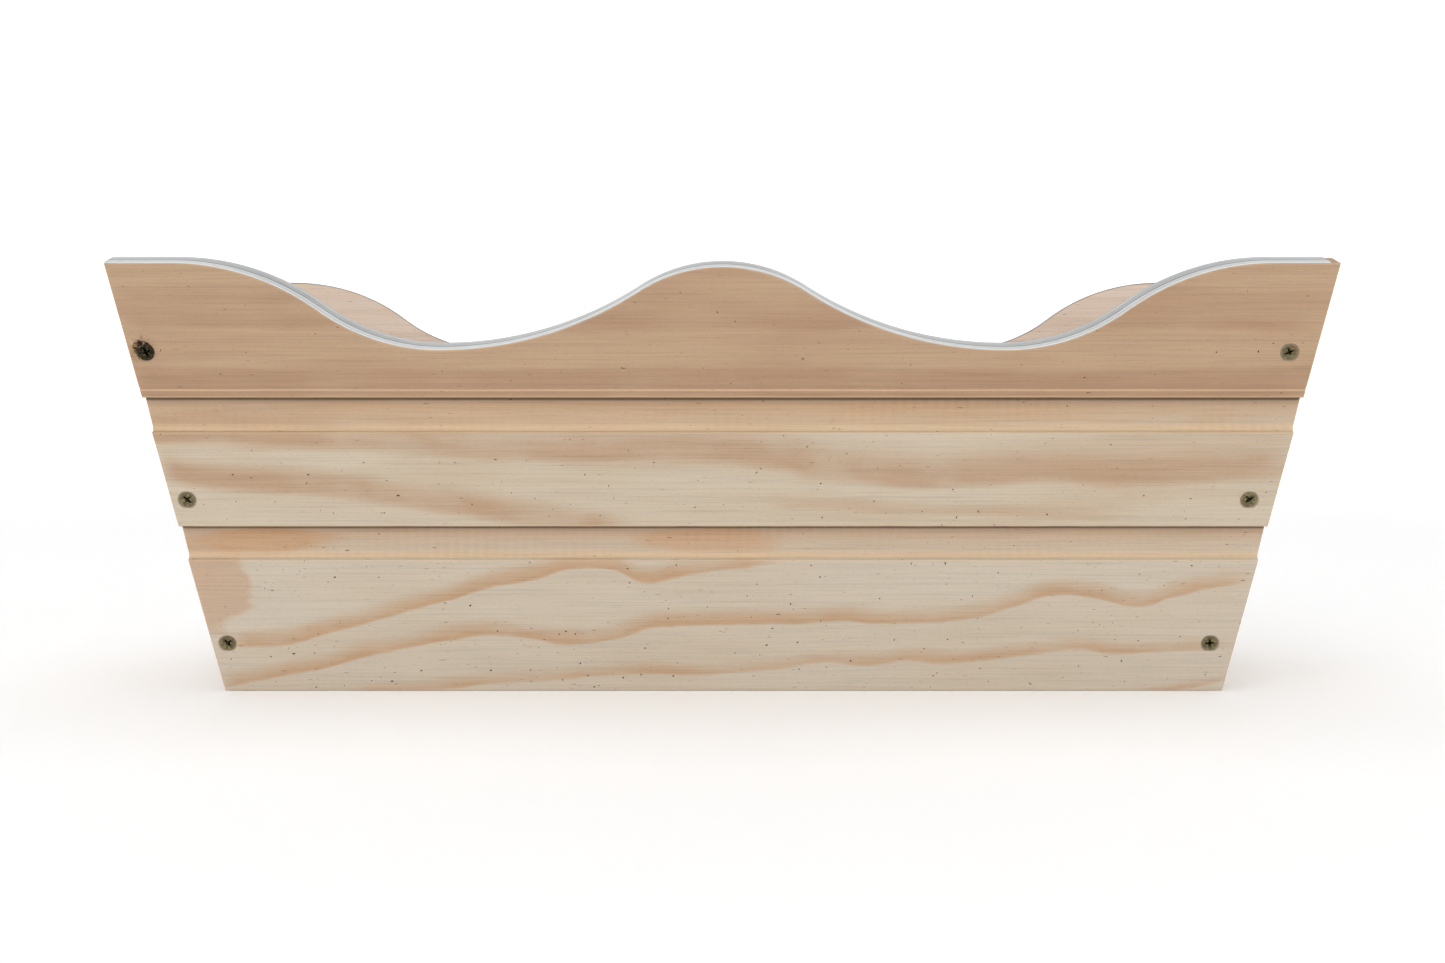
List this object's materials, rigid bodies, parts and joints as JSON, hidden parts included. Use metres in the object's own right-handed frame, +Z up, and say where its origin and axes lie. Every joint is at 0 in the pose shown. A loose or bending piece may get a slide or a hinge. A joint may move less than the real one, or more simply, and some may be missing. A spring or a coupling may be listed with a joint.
{
  "type": "hay trough feeder",
  "caption": "Open-topped wooden hay trough of shiplap boards with flared sides, a scalloped rim with dips to reach in, and metal gnaw guards along the rim.",
  "frame": {"origin": "middle of the underside, on the surface that the trough stands on", "axes": "+X along the trough, -Y towards the front, +Z up"},
  "size_m": [0.6071, 0.2258, 0.2259],
  "materials": {
    "pine": "planed bare pine, matt",
    "guard_metal": "satin, fine lengthwise lines",
    "screw_zinc": "yellow zinc plate, slightly iridescent"
  },
  "bodies": {
    "root": {"front_lower_board": "pine", "front_middle_board": "pine", "front_upper_board": "pine", "back_lower_board": "pine", "back_middle_board": "pine", "back_upper_board": "pine", "left_lower_board": "pine", "left_middle_board": "pine", "left_upper_board": "pine", "right_lower_board": "pine", "right_middle_board": "pine", "right_upper_board": "pine", "floor_board": "pine", "front_rim_guard": "guard_metal", "back_rim_guard": "guard_metal", "left_rim_guard": "guard_metal", "right_rim_guard": "guard_metal", "front_left_screws": "screw_zinc", "front_right_screws": "screw_zinc", "back_left_screws": "screw_zinc", "back_right_screws": "screw_zinc", "left_floor_screws": "screw_zinc", "right_floor_screws": "screw_zinc"}
  },
  "joints": []
}
